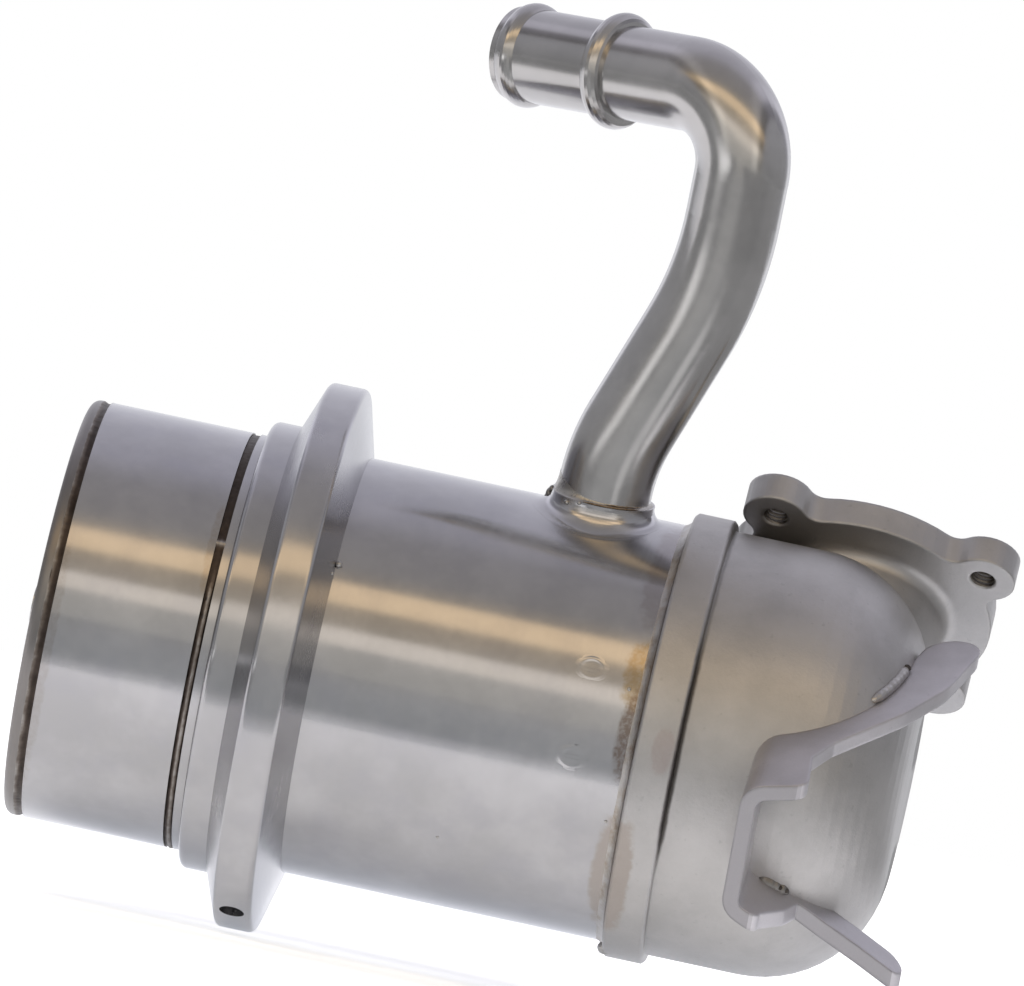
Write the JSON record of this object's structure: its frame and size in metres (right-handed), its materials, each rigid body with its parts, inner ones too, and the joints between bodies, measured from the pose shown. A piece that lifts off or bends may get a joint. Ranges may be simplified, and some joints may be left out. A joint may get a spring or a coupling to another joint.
{
  "type": "egr cooler",
  "caption": "Round welded exhaust gas cooler: tube bundle in a steel shell, clamp flange and spigot, cast outlet elbow with eared flange, bent coolant pipe and sheet bracket.",
  "frame": {"origin": "on the cylinder's axis, in the middle of the clamp flange's rim", "axes": "+X along the axis towards the cast end housing, +Z the side of the coolant pipe, +Y away from the picture's viewer"},
  "size_m": [0.2044, 0.1297, 0.2123],
  "materials": {
    "turned_steel": "turned stainless steel",
    "shell_steel": "satin stainless steel",
    "tube_steel": "satin drawn stainless steel",
    "sheet_steel": "blasted stainless sheet",
    "cast_steel": "blasted cast stainless steel",
    "weld": "weld bead with heat tint",
    "braze": "copper braze"
  },
  "bodies": {
    "root": {"front_header_plate": "turned_steel", "front_seam_weld": "weld", "spigot_sleeve": "turned_steel", "flange_seam_weld": "weld", "mounting_flange": "turned_steel", "outer_shell": "shell_steel", "rear_header_plate": "turned_steel", "gas_tubes": "tube_steel", "baffle_front": "sheet_steel", "baffle_middle": "sheet_steel", "baffle_rear": "sheet_steel", "coolant_pipe": "tube_steel", "pipe_braze": "braze", "collar_weld": "weld", "end_housing": "cast_steel", "bracket": "sheet_steel", "bracket_upper_weld": "weld", "bracket_lower_weld": "weld"}
  },
  "joints": []
}
